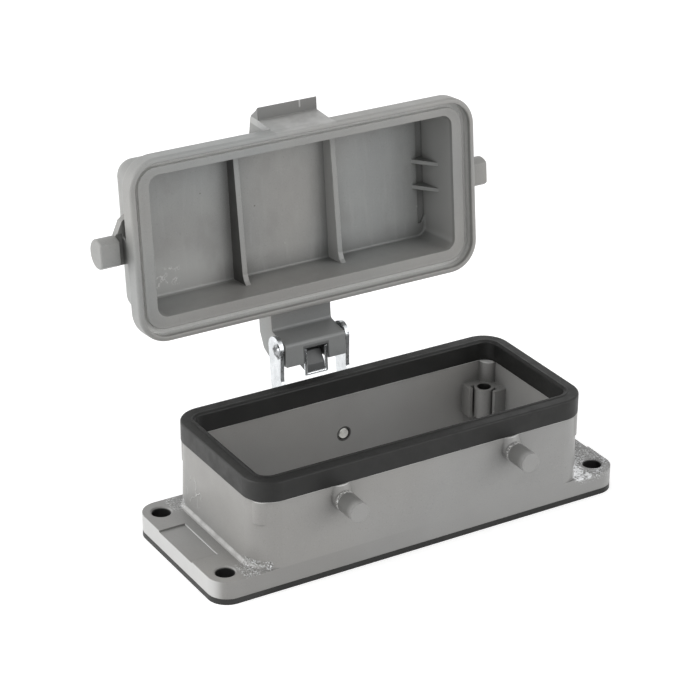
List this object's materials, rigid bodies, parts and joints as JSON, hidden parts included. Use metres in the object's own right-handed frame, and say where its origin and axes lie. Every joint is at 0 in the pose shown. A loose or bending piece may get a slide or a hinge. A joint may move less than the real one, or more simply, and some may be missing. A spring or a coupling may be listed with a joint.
{
  "type": "heavy duty rectangular connector housing",
  "caption": "Bulkhead housing of a heavy duty rectangular connector, with panel flange, sealing gaskets, locking pegs and a hinged protective cover standing open.",
  "frame": {"origin": "centre of the four-hole panel pattern, on the underside of the flange gasket", "axes": "+Z away from the panel, X along the housing, +Y towards the cover's hinge"},
  "size_m": [0.112, 0.0812, 0.0907],
  "materials": {
    "housing_paint": "matte",
    "panel_seal": "matte",
    "rim_seal": "matte",
    "plated_steel": "satin",
    "rivet_steel": "satin",
    "pin_steel": "satin",
    "cover_plastic": "matte",
    "spring_steel": "satin"
  },
  "bodies": {
    "base": {"housing": "housing_paint", "panel_gasket": "panel_seal", "rim_gasket": "rim_seal", "hinge_bracket": "plated_steel", "bracket_rivet": "rivet_steel", "hinge_pin": "pin_steel"},
    "cover": {"cover": "cover_plastic", "hinge_spring": "spring_steel"}
  },
  "joints": [
    {"name": "cover_hinge", "type": "hinge", "parent": "base", "child": "cover", "pos_m": [0, 0.0335, 0.03105], "axis": [1, 0, 0], "range_deg": [0, 95.5]}
  ]
}
